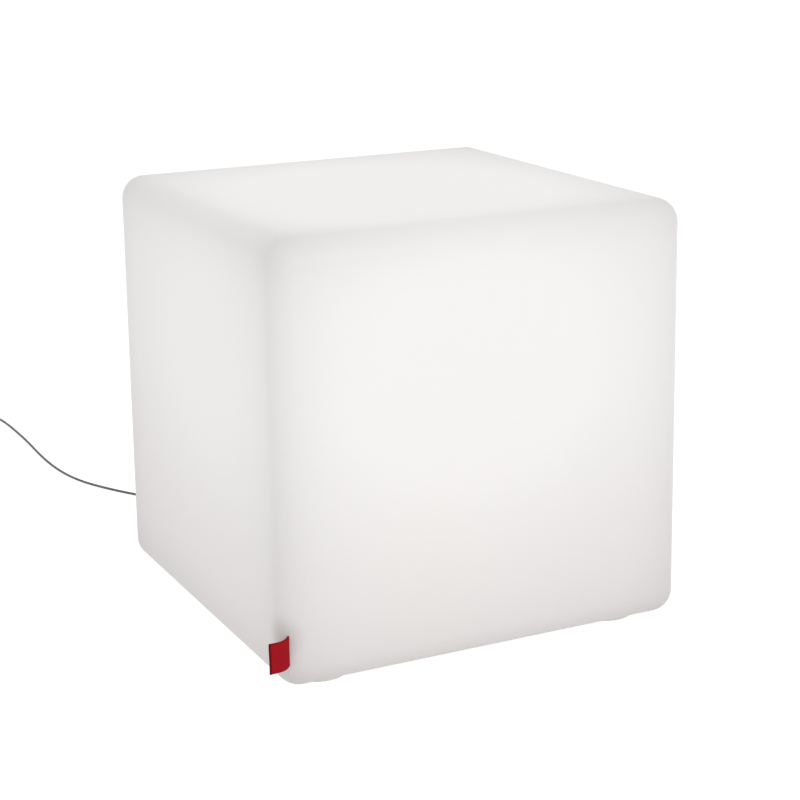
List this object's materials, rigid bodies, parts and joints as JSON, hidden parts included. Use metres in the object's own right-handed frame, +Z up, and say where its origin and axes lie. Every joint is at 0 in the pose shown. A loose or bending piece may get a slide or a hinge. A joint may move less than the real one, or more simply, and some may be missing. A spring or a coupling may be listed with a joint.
{
  "type": "cube light",
  "caption": "Hollow glowing cube on four low feet, with a bayonet lamp unit in its underside, a ribbon label and a thin lead with a rocker switch and a plug-in adapter.",
  "frame": {"origin": "middle of the footprint of the four feet, on the floor", "axes": "+Z up; the front face looks along -Y and the lead leaves towards +Y"},
  "size_m": [0.5956, 1.1249, 0.437],
  "materials": {
    "shell": "satin milky polyethylene",
    "foot": "satin moulded pad",
    "label": "woven ribbon",
    "steel": "zinc plated",
    "brass": "turned",
    "chrome": "nickel plated",
    "ring": "satin",
    "cover": "satin with fine grain",
    "gland": "satin nylon",
    "rubber": "matte",
    "board": "solder mask",
    "copper": "enamelled wire",
    "capacitor": "sleeved",
    "chip": "moulded",
    "terminal": "moulded",
    "aluminium": "turned",
    "pad": "soft",
    "led_board": "white solder mask",
    "led": "phosphor",
    "opal": "opal",
    "wire_red": "satin",
    "wire_black": "satin",
    "lead": "satin",
    "relief": "matte",
    "switch": "fine grain",
    "rocker": "satin",
    "adapter": "fine grain",
    "transformer": "taped"
  },
  "bodies": {
    "root": {"cube_shell": "shell", "foot_front_left": "foot", "foot_front_right": "foot", "foot_back_left": "foot", "foot_back_right": "foot", "foot_screws": "steel", "foot_inserts": "brass", "label_tag": "label", "mounting_ring": "ring", "ring_screws": "steel", "ring_inserts": "brass", "lead_run": "lead", "lead_to_coil": "lead", "lead_coil": "lead", "lead_to_adapter": "lead", "switch_base": "switch", "switch_cover": "switch", "switch_screws": "steel", "rocker_pin": "steel", "switch_contacts": "brass", "switch_relief_front": "relief", "switch_relief_rear": "relief", "adapter_cover": "adapter", "adapter_base": "adapter", "plug_pins": "chrome", "adapter_screws": "steel", "adapter_relief": "relief", "adapter_board": "board", "adapter_transformer": "transformer", "adapter_capacitor": "capacitor"},
    "lamp_unit": {"lamp_cover": "cover", "cover_gasket": "rubber", "gland_body": "gland", "gland_seal": "rubber", "gland_nut": "gland", "gland_locknut": "gland", "driver_board": "board", "driver_screws": "steel", "driver_coil": "copper", "driver_capacitors": "capacitor", "driver_chip": "chip", "terminal_block": "terminal", "driver_can": "cover", "lamp_post": "aluminium", "post_screws": "steel", "heat_sink": "aluminium", "thermal_pad": "pad", "led_board": "led_board", "led_chips": "led", "led_board_screws": "steel", "diffuser_dome": "opal", "dome_ring": "ring", "wire_red": "wire_red", "wire_black": "wire_black", "lead_inner_end": "lead"},
    "rocker": {"switch_rocker": "rocker"}
  },
  "joints": [
    {"name": "lamp_twist", "type": "hinge", "parent": "root", "child": "lamp_unit", "pos_m": [0, 0, 0.05], "axis": [0, 0, 1], "range_deg": [-40, 0]},
    {"name": "rocker_tilt", "type": "hinge", "parent": "root", "child": "rocker", "pos_m": [-0.306, 0.891, 0.0128], "axis": [0, 1, 0], "range_deg": [0, 18]}
  ]
}
